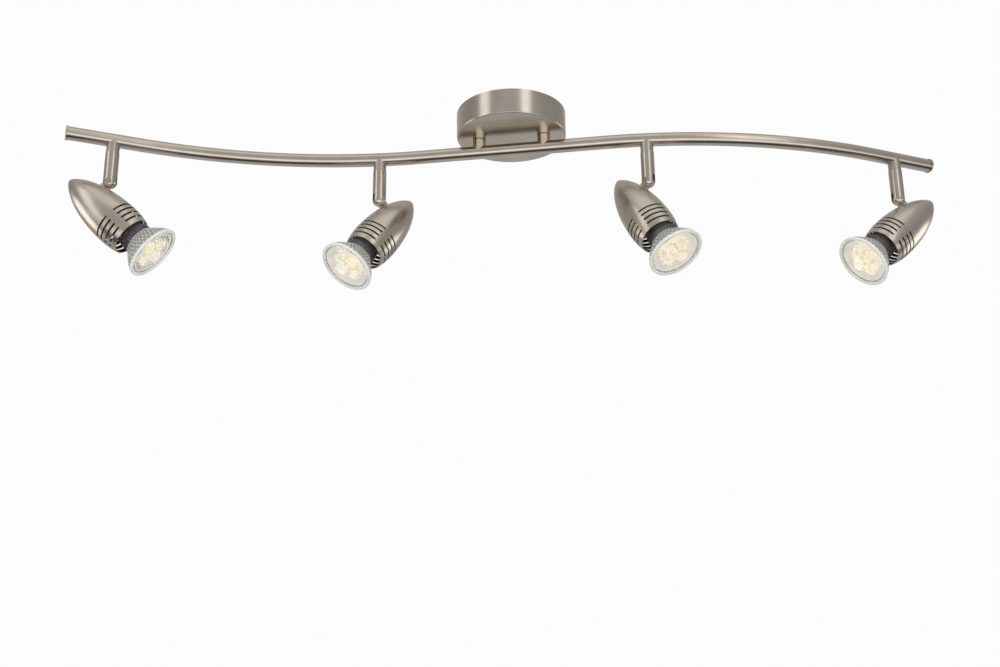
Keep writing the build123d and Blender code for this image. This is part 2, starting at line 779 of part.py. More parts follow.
def make_holder_screws(frame, number):
    seat = frame.across_lamp(holder_front + holder_screw_recess)
    with BuildPart() as screws:
        with BuildSketch(seat):
            with GridLocations(holder_screw_spacing, 0, 2, 1):
                Circle(holder_screw_head / 2)
        extrude(amount=holder_screw_head_height)
        with BuildSketch(seat):
            with GridLocations(holder_screw_spacing, 0, 2, 1):
                Circle(holder_screw_diameter / 2)
        extrude(amount=holder_screw_recess - holder_length - plate_thickness)
        with BuildSketch(seat.offset(holder_screw_head_height)):
            with GridLocations(holder_screw_spacing, 0, 2, 1):
                Rectangle(holder_screw_slot, holder_screw_head)
        extrude(amount=-holder_screw_slot_depth, mode=Mode.SUBTRACT)
    finish(screws, f"holder_screws_{number}")


def make_lamp_base(frame, number):
    spigot_radius = bowl_hole - lamp_fit_gap
    neck_end = lamp_bowl_length + lamp_neck_length
    with BuildPart() as base:
        with BuildSketch(frame.lamp):
            with BuildLine():
                Polyline(
                    (-lamp_bowl_length + lamp_base_spigot, 0),
                    (-lamp_bowl_length + lamp_base_spigot, spigot_radius),
                    (-lamp_bowl_length, spigot_radius),
                    (-lamp_bowl_length, lamp_neck_radius),
                    (-neck_end, lamp_neck_radius),
                    (-neck_end - lamp_taper_length, lamp_taper_radius),
                    (-lamp_length, lamp_base_radius),
                    (-lamp_length, 0),
                    close=True,
                )
            make_face()
        revolve(axis=frame.lamp_axis)
    finish(base, f"lamp_base_{number}")


def make_lamp_pins(frame, number):
    root = frame.across_lamp(lamp_length)
    with BuildPart() as pins:
        with BuildSketch(root):
            with PolarLocations(pin_radius, 2):
                Circle(pin_diameter / 2)
        extrude(amount=-pin_neck_length)
        with BuildSketch(root.offset(-pin_neck_length)):
            with PolarLocations(pin_radius, 2):
                Circle(pin_foot_diameter / 2)
        extrude(amount=-pin_foot_length)
    finish(pins, f"lamp_pins_{number}")


def make_lamp_reflector(frame, number):
    ledge = -lamp_lens_recess - lamp_lens_thickness
    with BuildPart() as reflector:
        with BuildSketch(frame.lamp):
            with BuildLine():
                Polyline(
                    (ledge, ledge_radius),
                    (ledge, window_radius),
                    (0, window_radius),
                    (0, rim_radius),
                    (-lamp_rim_edge, rim_radius),
                )
                Bezier(
                    (-lamp_rim_edge, rim_radius),
                    (-lamp_rim_edge - lamp_bowl_swell, rim_radius - lamp_bowl_swell_inset),
                    (-lamp_bowl_waist, rim_radius - lamp_bowl_waist_inset),
                    (-lamp_bowl_length, lamp_bowl_radius),
                )
                Line((-lamp_bowl_length, lamp_bowl_radius), (-lamp_bowl_length, bowl_hole))
                Bezier(
                    (-lamp_bowl_length, bowl_hole),
                    (-lamp_bowl_waist, rim_radius - lamp_bowl_waist_inset - lamp_wall),
                    (-lamp_rim_edge - lamp_bowl_swell, ledge_radius),
                    (ledge, ledge_radius),
                )
            make_face()
        revolve(axis=frame.lamp_axis)
    finish(reflector, f"lamp_reflector_{number}")


def make_lamp_lens(frame, number):
    back = lamp_lens_recess + lamp_lens_thickness
    collimator_length = board_front - chip_height - collimator_gap - back
    with BuildPart() as lens:
        with BuildSketch(frame.across_lamp(back)):
            Circle(window_radius - lamp_fit_gap)
        extrude(amount=lamp_lens_thickness)
        for chip in range(chip_count):
            turn = radians(chip * 360 / chip_count)
            centre = (chip_circle * cos(turn), chip_circle * sin(turn))
            with BuildSketch(frame.across_lamp(back)):
                with Locations(centre):
                    Circle(collimator_front_radius)
            with BuildSketch(frame.across_lamp(back + collimator_length)):
                with Locations(centre):
                    Circle(collimator_back_radius)
            loft()
    finish(lens, f"lamp_lens_{number}")


def make_lamp_leds(frame, number):
    with BuildPart() as board:
        with BuildSketch(frame.across_lamp(board_front + board_thickness)):
            Circle(bowl_hole - lamp_fit_gap)
        extrude(amount=board_thickness)
        with BuildSketch(frame.across_lamp(board_front)):
            with PolarLocations(chip_circle, chip_count):
                Rectangle(chip_size, chip_size)
        extrude(amount=chip_height)
    finish(board, f"lamp_leds_{number}")


def make_spot(spot, place, number):
    frame = Frame(spot, place)
    make_stem(frame, number)
    make_swivel_screw(frame, number)
    make_pivot_screw(frame, number)
    make_tilt_bracket(frame, number)
    make_shell(frame, number)
    make_lampholder(frame, number)
    make_holder_screws(frame, number)
    make_lamp_base(frame, number)
    make_lamp_pins(frame, number)
    make_lamp_reflector(frame, number)
    make_lamp_lens(frame, number)
    make_lamp_leds(frame, number)


os.makedirs("parts", exist_ok=True)
make_rose()
make_strap()
make_rose_screws()
make_terminal_block()
make_terminal_screws()
make_earth_screw()
make_standoffs()
make_standoff_washers()
make_standoff_nuts()
make_bar()
make_end_caps()
make_collars()
for number, (spot, place) in enumerate(zip(spots, collar_places), start=1):
    make_spot(spot, place, number)
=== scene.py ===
import json
from math import atan2, cos, hypot, pi, radians, sin, sqrt

import bmesh
import bpy
from mathutils import Matrix, Vector


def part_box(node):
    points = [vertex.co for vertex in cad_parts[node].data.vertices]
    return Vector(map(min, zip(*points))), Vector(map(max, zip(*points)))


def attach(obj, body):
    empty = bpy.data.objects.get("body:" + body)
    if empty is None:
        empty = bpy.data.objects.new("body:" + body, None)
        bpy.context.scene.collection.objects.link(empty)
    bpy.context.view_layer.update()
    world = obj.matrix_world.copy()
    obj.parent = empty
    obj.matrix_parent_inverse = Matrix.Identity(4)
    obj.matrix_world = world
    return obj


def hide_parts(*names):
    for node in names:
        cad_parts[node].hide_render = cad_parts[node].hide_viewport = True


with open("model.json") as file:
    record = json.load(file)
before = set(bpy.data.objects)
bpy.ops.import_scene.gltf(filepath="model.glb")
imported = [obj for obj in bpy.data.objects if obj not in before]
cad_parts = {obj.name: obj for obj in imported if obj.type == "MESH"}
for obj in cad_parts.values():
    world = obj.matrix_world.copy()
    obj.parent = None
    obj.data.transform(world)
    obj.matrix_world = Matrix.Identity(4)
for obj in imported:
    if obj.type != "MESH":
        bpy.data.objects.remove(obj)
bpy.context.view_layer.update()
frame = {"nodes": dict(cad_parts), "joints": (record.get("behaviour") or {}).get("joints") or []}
nodes = frame["nodes"]
joints = {joint["name"]: joint for joint in frame["joints"]}
spotNumbers = range(1, 1 + sum(name.startswith("shell_") for name in nodes))
mm = 0.001
print("frame loaded,", len(nodes), "nodes")


def link(piece):
    bpy.context.scene.collection.objects.link(piece)
    return piece


def meshFrom(name, shape, smoothAngle):
    # merges doubles, points the faces outward and keeps edges sharper than the angle crisp
    bmesh.ops.remove_doubles(shape, verts=shape.verts, dist=1e-7)
    bmesh.ops.recalc_face_normals(shape, faces=shape.faces)
    mesh = bpy.data.meshes.new(name)
    shape.to_mesh(mesh)
    shape.free()
    mesh.shade_smooth()
    mesh.set_sharp_from_angle(angle=radians(smoothAngle))
    return mesh


def lathe(shape, profile, around, heightOf=None):
    # turns a closed profile of (along, radius) about the X axis
    rings = []
    for step in range(around):
        angle = 2 * pi * step / around
        ring = []
        for place, radius in profile:
            out = radius + (heightOf(place, radius, angle) if heightOf else 0)
            ring.append(shape.verts.new((place, out * cos(angle), out * sin(angle))))
        rings.append(ring)
    for step in range(around):
        here, there = rings[step], rings[(step + 1) % around]
        for corner in range(len(profile)):
            after = (corner + 1) % len(profile)
            if profile[corner][1] == 0 and profile[after][1] == 0:
                continue  # a run along the axis has no face
            shape.faces.new((here[corner], there[corner], there[after], here[after]))


def bezier(points, steps):
    # points on a cubic curve, both ends included
    result = []
    for step in range(steps + 1):
        t = step / steps
        weights = ((1 - t) ** 3, 3 * t * (1 - t) ** 2, 3 * t * t * (1 - t), t ** 3)
        result.append(tuple(sum(w * p[axis] for w, p in zip(weights, points)) for axis in (0, 1)))
    return result


def lampFrame(number):
    # X along the light, Y towards the stem, Z along the tilt hinge, origin in the rim's plane
    light = Vector(joints[f"lamp_turn_{number}"]["axis"]).normalized()
    hinge = Vector(joints[f"tilt_{number}"]["axis"]).normalized()
    towards = hinge.cross(light)
    place = Vector(joints[f"lamp_turn_{number}"]["pos_m"])
    turn = Matrix((light, towards, hinge)).transposed().to_4x4()
    return Matrix.Translation(place) @ turn


def startMaterial(name):
    material = bpy.data.materials.new(name)
    material.use_nodes = True
    tree = material.node_tree
    return material, tree, tree.nodes["Principled BSDF"]


def addNode(tree, kind, **values):
    made = tree.nodes.new(kind)
    for key, value in values.items():
        setattr(made, key, value)
    return made


def setInputs(target, **values):
    for key, value in values.items():
        target.inputs[key.replace("_", " ")].default_value = value


def onPiece(tree, turn=(0, 0, 0), centre=(0, 0, 0)):
    # object coordinates, centred and turned on the piece
    coordinates = addNode(tree, "ShaderNodeTexCoord")
    place = addNode(tree, "ShaderNodeMapping", vector_type="TEXTURE")
    setInputs(place, Location=centre, Rotation=turn)
    tree.links.new(coordinates.outputs["Object"], place.inputs["Vector"])
    return place.outputs["Vector"]


def stretched(tree, vector, scale):
    made = addNode(tree, "ShaderNodeMapping")
    setInputs(made, Scale=scale)
    tree.links.new(vector, made.inputs["Vector"])
    return made.outputs["Vector"]


def noise(tree, vector, scale, detail=2.0, roughness=0.5):
    made = addNode(tree, "ShaderNodeTexNoise")
    tree.links.new(vector, made.inputs["Vector"])
    setInputs(made, Scale=scale, Detail=detail, Roughness=roughness)
    return made.outputs["Fac"]


def spread(tree, value, low, high, fromLow=0.3, fromHigh=0.7):
    # stretches part of a value's range so that it runs from low to high
    made = addNode(tree, "ShaderNodeMapRange")
    tree.links.new(value, made.inputs["Value"])
    setInputs(made, From_Min=fromLow, From_Max=fromHigh, To_Min=low, To_Max=high)
    return made.outputs["Result"]


def blendColours(tree, value, first, second):
    made = addNode(tree, "ShaderNodeMix", data_type="RGBA")
    tree.links.new(value, made.inputs[0])
    made.inputs[6].default_value = (*first, 1)
    made.inputs[7].default_value = (*second, 1)
    return made.outputs[2]


def bump(tree, height, strength, distance):
    made = addNode(tree, "ShaderNodeBump")
    tree.links.new(height, made.inputs["Height"])
    setInputs(made, Strength=strength, Distance=distance)
    return made.outputs["Normal"]


brushedNickel = {
    "colour": (0.66, 0.605, 0.535),
    "darker": (0.60, 0.545, 0.475),
    "roughness": (0.21, 0.26),
    "streak": 1400,
    "streakDepth": 0.0000015,
    "streakBump": 0.35,
    "cloud": 60,
}
# painted shade for the inside of the shells: its colour, where the shell's axis lies, and the facing turns over
# which it fades in
shellInsideShade = {
    "colour": (0.035, 0.03, 0.026),
    "axisBeside": 2.4 * mm,
    "darkBelow": -0.15,
    "clearAbove": 0.05,
}


def makeNickel(name, along, turn=(0, 0, 0), centre=(0, 0, 0), **changes):
    # satin plating with fine brush lines; along gives how fast the lines change on each axis
    settings = {**brushedNickel, **changes}
    material, tree, shader = startMaterial(name)
    join = tree.links.new
    plain = onPiece(tree, turn, centre)
    streaks = noise(tree, stretched(tree, plain, along), settings["streak"], detail=3.0, roughness=0.6)
    clouds = spread(tree, noise(tree, plain, settings["cloud"]), 0, 1)
    join(blendColours(tree, clouds, settings["colour"], settings["darker"]), shader.inputs["Base Color"])
    join(spread(tree, streaks, *settings["roughness"]), shader.inputs["Roughness"])
    join(bump(tree, streaks, settings["streakBump"], settings["streakDepth"]), shader.inputs["Normal"])
    shader.inputs["Metallic"].default_value = 1.0
    return material


def paintInsideShade(material, place):
    # painted shade: faces that look at the shell's axis are darkened to near black, standing in for the shade
    # inside the shell
    tree = material.node_tree
    shader = tree.nodes["Principled BSDF"]
    coordinates = addNode(tree, "ShaderNodeTexCoord")
    away = addNode(tree, "ShaderNodeVectorMath", operation="SUBTRACT")
    # the shell's axis runs beside the lamp's, a little further from the stem
    away.inputs[1].default_value = place @ Vector((0, -shellInsideShade["axisBeside"], 0))
    along = addNode(tree, "ShaderNodeVectorMath", operation="PROJECT")
    along.inputs[1].default_value = place.to_3x3() @ Vector((1, 0, 0))
    outward = addNode(tree, "ShaderNodeVectorMath", operation="SUBTRACT")
    unit = addNode(tree, "ShaderNodeVectorMath", operation="NORMALIZE")
    facing = addNode(tree, "ShaderNodeVectorMath", operation="DOT_PRODUCT")
    join = tree.links.new
    join(coordinates.outputs["Object"], away.inputs[0])
    join(away.outputs[0], along.inputs[0])
    join(away.outputs[0], outward.inputs[0])
    join(along.outputs[0], outward.inputs[1])
    join(outward.outputs[0], unit.inputs[0])
    join(unit.outputs[0], facing.inputs[0])
    join(coordinates.outputs["Normal"], facing.inputs[1])
    inside = spread(tree, facing.outputs["Value"], 1, 0, shellInsideShade["darkBelow"], shellInsideShade["clearAbove"])
    mix = addNode(tree, "ShaderNodeMix", data_type="RGBA")
    before = shader.inputs["Base Color"].links[0].from_socket
    join(inside, mix.inputs[0])
    join(before, mix.inputs[6])
    mix.inputs[7].default_value = (*shellInsideShade["colour"], 1)
    join(mix.outputs[2], shader.inputs["Base Color"])


surfaceBumps = {
    "plainBump": 0.4,
    "plainDepth": 0.00002,
    "glassBump": 0.3,
    "glassDepth": 0.000015,
    "glassWaves": 500,
}


def makeSimple(name, colours, roughness, metallic=0.0, scale=400, coat=0.0):
    # two tones mottled together, with the same mottle in gloss and height
    material, tree, shader = startMaterial(name)
    mottle = noise(tree, onPiece(tree), scale, detail=4.0, roughness=0.6)
    tree.links.new(blendColours(tree, spread(tree, mottle, 0, 1), *colours), shader.inputs["Base Color"])
    tree.links.new(spread(tree, mottle, *roughness), shader.inputs["Roughness"])
    height = bump(tree, mottle, surfaceBumps["plainBump"], surfaceBumps["plainDepth"])
    tree.links.new(height, shader.inputs["Normal"])
    setInputs(shader, Metallic=metallic, Coat_Weight=coat)
    return material


def makeGlass(name, colour, roughness, transmission, ior):
    # clear material with slow waves in its surface
    material, tree, shader = startMaterial(name)
    waves = noise(tree, onPiece(tree), surfaceBumps["glassWaves"])
    tree.links.new(spread(tree, waves, *roughness), shader.inputs["Roughness"])
    height = bump(tree, waves, surfaceBumps["glassBump"], surfaceBumps["glassDepth"])
    tree.links.new(height, shader.inputs["Normal"])
    setInputs(shader, Base_Color=(*colour, 1), Transmission_Weight=transmission, IOR=ior)
    return material


upright = (0.01, 0.01, 1.0)
barNickel = makeNickel("barNickel", (0.012, 0.6, 1.0), streakDepth=0.0000006)
turnedNickel = makeNickel("turnedNickel", upright)
polishedNickel = makeNickel("polishedNickel", upright, streakDepth=0.0000005, roughness=(0.07, 0.12))
collarNickel = makeNickel("collarNickel", upright, roughness=(0.37, 0.42),
                          colour=(0.60, 0.565, 0.52), darker=(0.55, 0.515, 0.47))
roseNickel = makeNickel("roseNickel", (0.01, 0.4, 1.0))
zincPlate = makeSimple("zincPlate", colours=((0.70, 0.71, 0.72), (0.62, 0.64, 0.62)),
                       roughness=(0.28, 0.42), metallic=1.0, scale=900)
turnedBrass = makeSimple("turnedBrass", colours=((0.80, 0.62, 0.30), (0.70, 0.52, 0.24)),
                         roughness=(0.22, 0.36), metallic=1.0)
blockPlastic = makeSimple("blockPlastic", colours=((0.82, 0.82, 0.78), (0.78, 0.77, 0.72)),
                          roughness=(0.42, 0.55))
holderCeramic = makeSimple("holderCeramic", colours=((0.83, 0.80, 0.74), (0.74, 0.71, 0.65)),
                           roughness=(0.45, 0.7), scale=1500)
pinNickel = makeSimple("pinNickel", colours=((0.76, 0.75, 0.73), (0.68, 0.67, 0.64)),
                       roughness=(0.16, 0.3), metallic=1.0)


def glow(material, colour, strength):
    shader = material.node_tree.nodes["Principled BSDF"]
    setInputs(shader, Emission_Color=(*colour, 1), Emission_Strength=strength)


def paintedGlowPatches(material, colours, strength, scale):
    # painted light that turns from one colour to another over patches the size of a chip's beam
    glow(material, colours[0], strength)
    tree = material.node_tree
    patches = spread(tree, noise(tree, onPiece(tree), scale, detail=1.0), 0, 1, fromLow=0.42, fromHigh=0.58)
    shader = tree.nodes["Principled BSDF"]
    tree.links.new(blendColours(tree, patches, *colours), shader.inputs["Emission Color"])


beadGlass = {
    "crest": (0.98, 0.985, 0.97),
    # painted shade in the grooves between the beads
    "groove": (0.17, 0.175, 0.17),
    "grooveFrom": 0.2,
    "grooveTo": 0.65,
    "roughness": (0.03, 0.12),
    "waves": 700,
    "waveBump": 0.3,
    "waveDepth": 0.00002,
    "transmission": 0.5,
    "ior": 1.5,
}


def makePressedGlass():
    # clear on the beads, with painted shade making the glass greyer down in the grooves between them
    material, tree, shader = startMaterial("pressedGlass")
    join = tree.links.new
    groove = addNode(tree, "ShaderNodeAttribute", attribute_name="groove")
    waves = noise(tree, onPiece(tree), beadGlass["waves"])
    grooveShade = spread(tree, groove.outputs["Fac"], 0, 1, beadGlass["grooveFrom"], beadGlass["grooveTo"])
    join(blendColours(tree, grooveShade, beadGlass["crest"], beadGlass["groove"]), shader.inputs["Base Color"])
    join(spread(tree, waves, *beadGlass["roughness"]), shader.inputs["Roughness"])
    join(bump(tree, waves, beadGlass["waveBump"], beadGlass["waveDepth"]), shader.inputs["Normal"])
    setInputs(shader, Transmission_Weight=beadGlass["transmission"], IOR=beadGlass["ior"])
    return material


# painted light: how brightly each piece of a lamp is made to glow, standing in for light on it
paintedLampGlow = {
    "rim": {"colour": (0.94, 1.0, 0.96), "strength": 0.26},
    "bowl": {"colour": (1.0, 0.98, 0.95), "strength": 0.24},
    "board": {"colour": (1.0, 0.975, 0.93), "strength": 0.40},
    "cones": {"colours": ((0.97, 0.97, 0.96), (1.0, 0.78, 0.36)), "strength": 0.12, "scale": 70},
    "chips": {"colours": ((1.0, 0.95, 0.84), (1.0, 0.70, 0.22)), "strength": 3.0, "scale": 70},
}
pressedGlass = makePressedGlass()
milkyGlass = makeGlass("milkyGlass", (0.93, 0.95, 0.93), roughness=(0.2, 0.32), transmission=0.35, ior=1.48)
clearLens = makeGlass("clearLens", (0.99, 0.985, 0.97), roughness=(0.03, 0.10), transmission=0.94, ior=1.46)
coneGlass = makeGlass("coneGlass", (1.0, 0.98, 0.93), roughness=(0.03, 0.08), transmission=0.92, ior=1.46)
bowlCoating = makeSimple("bowlCoating", colours=((0.92, 0.92, 0.89), (0.70, 0.70, 0.67)),
                         roughness=(0.12, 0.24), metallic=0.4, scale=140)
neckPlastic = makeSimple("neckPlastic", colours=((0.150, 0.132, 0.118), (0.105, 0.094, 0.090)),
                         roughness=(0.16, 0.3), scale=200, coat=0.6)
ribGlass = makeSimple("ribGlass", colours=((0.11, 0.105, 0.11), (0.16, 0.16, 0.36)),
                      roughness=(0.10, 0.2), metallic=0.5, scale=260, coat=0.8)
boardWhite = makeSimple("boardWhite", colours=((0.86, 0.84, 0.78), (0.80, 0.78, 0.70)),
                        roughness=(0.4, 0.55), scale=1200)
chipPhosphor = makeSimple("chipPhosphor", colours=((0.98, 0.72, 0.16), (0.95, 0.62, 0.10)),
                          roughness=(0.3, 0.5), scale=3000)
# painted light: the rim, the bowl's inner coating, the board, the cones and the chips glow
glow(milkyGlass, **paintedLampGlow["rim"])
glow(bowlCoating, **paintedLampGlow["bowl"])
glow(boardWhite, **paintedLampGlow["board"])
paintedGlowPatches(coneGlass, **paintedLampGlow["cones"])
paintedGlowPatches(chipPhosphor, **paintedLampGlow["chips"])
print("materials made,", len(bpy.data.materials))


def paint(node, material):
    for slot in nodes[node].material_slots:
        slot.material = material


fixedFinishes = {
    "ceiling_rose": roseNickel,
    "mounting_bracket": zincPlate,
    "rose_screws": zincPlate,
    "terminal_block": blockPlastic,
    "terminal_screws": turnedBrass,
    "earth_screw": turnedBrass,
    "standoffs": polishedNickel,
    "standoff_washers": zincPlate,
    "standoff_nuts": zincPlate,
    "end_caps": barNickel,
    "stem_collars": collarNickel,
}
for node, material in fixedFinishes.items():
    paint(node, material)

for number in spotNumbers:
    place = lampFrame(number)
    shellNickel = makeNickel(f"shellNickel{number}", (1.0, 0.01, 0.01), turn=place.to_euler(),
                             centre=place.to_translation(), roughness=(0.26, 0.31))
    # painted shade on the inside of the shell
    paintInsideShade(shellNickel, place)
    paint(f"shell_{number}", shellNickel)
    paint(f"stem_{number}", turnedNickel)
    paint(f"swivel_screw_{number}", zincPlate)
    paint(f"pivot_screw_{number}", turnedNickel)
    paint(f"tilt_bracket_{number}", zincPlate)
    paint(f"lampholder_{number}", holderCeramic)
    paint(f"holder_screws_{number}", zincPlate)
    paint(f"lamp_pins_{number}", pinNickel)
print("CAD nodes painted")


def newTree(name, sockets):
    tree = bpy.data.node_groups.new(name, "GeometryNodeTree")
    tree.interface.new_socket("Geometry", in_out="INPUT", socket_type="NodeSocketGeometry")
    for label, kind in sockets.items():
        tree.interface.new_socket(label, in_out="INPUT", socket_type=kind)
    tree.interface.new_socket("Geometry", in_out="OUTPUT", socket_type="NodeSocketGeometry")
    start = tree.nodes.new("NodeGroupInput")
    end = tree.nodes.new("NodeGroupOutput")
    return tree, start, end


def runTree(name, mesh, tree, values):
    # puts the tree on a piece, sets its inputs and keeps only the finished mesh
    holder = link(bpy.data.objects.new(name, mesh))
    modifier = holder.modifiers.new(name, "NODES")
    modifier.node_group = tree
    for item in tree.interface.items_tree:
        if item.in_out == "INPUT" and item.name in values:
            modifier[item.identifier] = values[item.name]
    bpy.context.view_layer.update()
    graph = bpy.context.evaluated_depsgraph_get()
    made = bpy.data.meshes.new_from_object(holder.evaluated_get(graph))
    bpy.data.objects.remove(holder)
    made.name = name
    return made


# the bar is a round tube swept along its path
barShape = {
    "diameter": 12 * mm,
    "turn": 31.7,
    "middleStraight": 82 * mm,
    "endStraight": 62 * mm,
    "capLip": 2.2 * mm,
    "capEdge": 0.5 * mm,
    "around": 48,
    "bendSteps": 40,
}


def barPath():
    # middle straight, arc and end straight of each half, turned so that the half ends on +X
    capLow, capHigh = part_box("end_caps")
    turn = radians(barShape["turn"])
    capRadius = barShape["diameter"] / 2 + barShape["capEdge"]
    halfSpan = capHigh.x
    for repeat in range(6):  # the end's slope shortens the bar, and the length gives the slope
        run = barShape["middleStraight"] + barShape["endStraight"] * cos(turn)
        rise = barShape["endStraight"] * sin(turn)
        cross = run * sin(turn) + rise * (1 - cos(turn))
        square = sin(turn) ** 2 + (1 - cos(turn)) ** 2
        radius = (sqrt(cross ** 2 - square * (run ** 2 + rise ** 2 - halfSpan ** 2)) - cross) / square
        slope = -atan2(rise + radius * (1 - cos(turn)), run + radius * sin(turn))
        halfSpan = capHigh.x - capRadius * sin(slope + turn)
    level = (capLow.z + capHigh.z) / 2
    points = []
    bendStart = Vector((cos(slope), sin(slope), 0)) * barShape["middleStraight"]
    centre = bendStart + Vector((-sin(slope), cos(slope), 0)) * radius
    for step in range(barShape["bendSteps"] + 1):
        angle = slope + turn * step / barShape["bendSteps"]
        points.append(centre + Vector((sin(angle), -cos(angle), 0)) * radius)
    ending = Vector((cos(slope + turn), sin(slope + turn), 0))
    points.append(Vector((halfSpan, 0, 0)) - ending * barShape["capLip"])
    halves = [-point for point in reversed(points)] + points
    return [point + Vector((0, 0, level)) for point in halves]


def sweepTree():
    tree, start, end = newTree("sweptTube", {
        "Radius": "NodeSocketFloat", "Around": "NodeSocketInt", "Material": "NodeSocketMaterial"})
    curve = addNode(tree, "GeometryNodeMeshToCurve")
    circle = addNode(tree, "GeometryNodeCurvePrimitiveCircle")
    sweep = addNode(tree, "GeometryNodeCurveToMesh")
    sweep.inputs["Fill Caps"].default_value = True
    realize = addNode(tree, "GeometryNodeRealizeInstances")
    finish = addNode(tree, "GeometryNodeSetMaterial")
    join = tree.links.new
    join(start.outputs["Geometry"], curve.inputs["Mesh"])
    join(start.outputs["Radius"], circle.inputs["Radius"])
    join(start.outputs["Around"], circle.inputs["Resolution"])
    join(curve.outputs["Curve"], sweep.inputs["Curve"])
    join(circle.outputs["Curve"], sweep.inputs["Profile Curve"])
    join(sweep.outputs["Mesh"], realize.inputs["Geometry"])
    join(realize.outputs["Geometry"], finish.inputs["Geometry"])
    join(start.outputs["Material"], finish.inputs["Material"])
    join(finish.outputs["Geometry"], end.inputs["Geometry"])
    return tree


def makeBar():
    points = barPath()
    line = bpy.data.meshes.new("barLine")
    line.from_pydata(points, [(i, i + 1) for i in range(len(points) - 1)], [])
    swept = runTree("barTube", line, sweepTree(), {
        "Radius": barShape["diameter"] / 2,
        "Around": barShape["around"],
        "Material": barNickel})
    shape = bmesh.new()
    shape.from_mesh(swept)
    mesh = meshFrom("barTube", shape, smoothAngle=40)
    mesh.materials.append(barNickel)
    bar = link(bpy.data.objects.new("barTube", mesh))
    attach(bar, "base")
    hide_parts("s_bar")


makeBar()
print("bar swept")


bowl = {
    "rimRadius": 25 * mm,
    "rimEdge": 1.8 * mm,
    "rimRound": 0.5 * mm,
    "windowRadius": 22.1 * mm,
    "ledgeRadius": 21.2 * mm,
    "ledge": 2.8 * mm,
    "length": 17.6 * mm,
    "endRadius": 14.0 * mm,
    "wall": 1.6 * mm,
    "swell": 6.2 * mm,
    "swellRadius": 23.8 * mm,
    "waist": 12.6 * mm,
    "waistRadius": 18.2 * mm,
    "beadsAround": 36,
    "beadRows": 5,
    "beadHeight": 0.8 * mm,
    "beadFullness": 0.4,
    "beadsEndShare": 0.97,
    "meshPerBead": 9,
    "innerSteps": 24,
    "rimGroove": 0.5 * mm,
    "rimGrooveShare": 0.05,
}


def bowlProfile():
    outer = bezier(((-bowl["rimEdge"], bowl["rimRadius"]), (-bowl["swell"], bowl["swellRadius"]),
                    (-bowl["waist"], bowl["waistRadius"]), (-bowl["length"], bowl["endRadius"])),
                   bowl["beadRows"] * bowl["meshPerBead"])
    inner = bezier(((-bowl["length"], bowl["endRadius"] - bowl["wall"]),
                    (-bowl["waist"], bowl["waistRadius"] - bowl["wall"]),
                    (-bowl["swell"], bowl["ledgeRadius"]), (-bowl["ledge"], bowl["ledgeRadius"])),
                   bowl["innerSteps"])
    return outer, inner


def beadHeightAt(place, angle):
    # rounded beads in rows, each row turned half a bead, sunk into the glass so that the size stays
    share = (-place - bowl["rimEdge"]) / (bowl["length"] - bowl["rimEdge"])
    if share <= 0 or share >= bowl["beadsEndShare"]:
        return 0.0
    if share <= bowl["rimGrooveShare"]:
        return -bowl["rimGroove"]
    row = share * bowl["beadRows"]
    shift = 0.5 * (int(row) % 2)
    along = abs(sin(pi * (row % 1)))
    across = abs(sin(pi * (angle / (2 * pi) * bowl["beadsAround"] + shift)))
    return bowl["beadHeight"] * ((along * across) ** bowl["beadFullness"] - 1)


def makeBowl(number, place):
    outer, inner = bowlProfile()
    edge = bowl["rimRound"]
    # the ledge that holds the lens, its seat, and the rim's rounded edge
    rim = [(-bowl["ledge"], bowl["ledgeRadius"]), (-bowl["ledge"], bowl["windowRadius"]),
           (-edge, bowl["windowRadius"]), (0, bowl["windowRadius"] + edge),
           (0, bowl["rimRadius"] - 2 * edge), (-0.3 * edge, bowl["rimRadius"] - edge),
           (-edge, bowl["rimRadius"] - 0.3 * edge), (-2 * edge, bowl["rimRadius"])]
    profile = outer + inner[:-1] + rim
    beaded = set(outer)

    def heightOf(along, radius, angle):
        return beadHeightAt(along, angle) if (along, radius) in beaded else 0.0

    shape = bmesh.new()
    lathe(shape, profile, bowl["beadsAround"] * bowl["meshPerBead"], heightOf)
    mesh = meshFrom(f"lampReflector_{number}", shape, smoothAngle=50)
    for material in (pressedGlass, milkyGlass, bowlCoating):
        mesh.materials.append(material)
    slack = 0.1 * mm
    for face in mesh.polygons:
        middle = face.center
        away = hypot(middle.y, middle.z)
        inside = face.normal.y * middle.y + face.normal.z * middle.z < 0
        if middle.x > -bowl["rimEdge"] - slack and away > bowl["windowRadius"] - slack:
            face.material_index = 1
        elif inside and middle.x < -bowl["ledge"]:
            face.material_index = 2
    # how deep each point lies in a groove, which sets the painted shade of the pressed glass
    grooveShade = mesh.attributes.new("groove", "FLOAT", "POINT")
    for vert, value in zip(mesh.vertices, grooveShade.data):
        value.value = -beadHeightAt(vert.co.x, atan2(vert.co.z, vert.co.y)) / bowl["beadHeight"]
    mesh.transform(place)
    piece = link(bpy.data.objects.new(f"lampReflector_{number}", mesh))
    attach(piece, f"lamp_{number}")
    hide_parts(f"lamp_reflector_{number}")


lens = {
    "recess": 1.2 * mm,
    "thickness": 1.6 * mm,
    "radius": 22.0 * mm,
    "domeCircle": 8.8 * mm,
    "domeRadius": 7.4 * mm,
    "domeHeight": 1.1 * mm,
    "ribs": 60,
    "ribFrom": 14.6 * mm,
    "ribTo": 20.2 * mm,
    "ribHeight": 0.28 * mm,
    "ringRadius": 20.8 * mm,
    "ringWidth": 0.5 * mm,
    "ringDepth": 0.4 * mm,
    "around": 360,
    "rings": 60,
    "chips": 4,
}


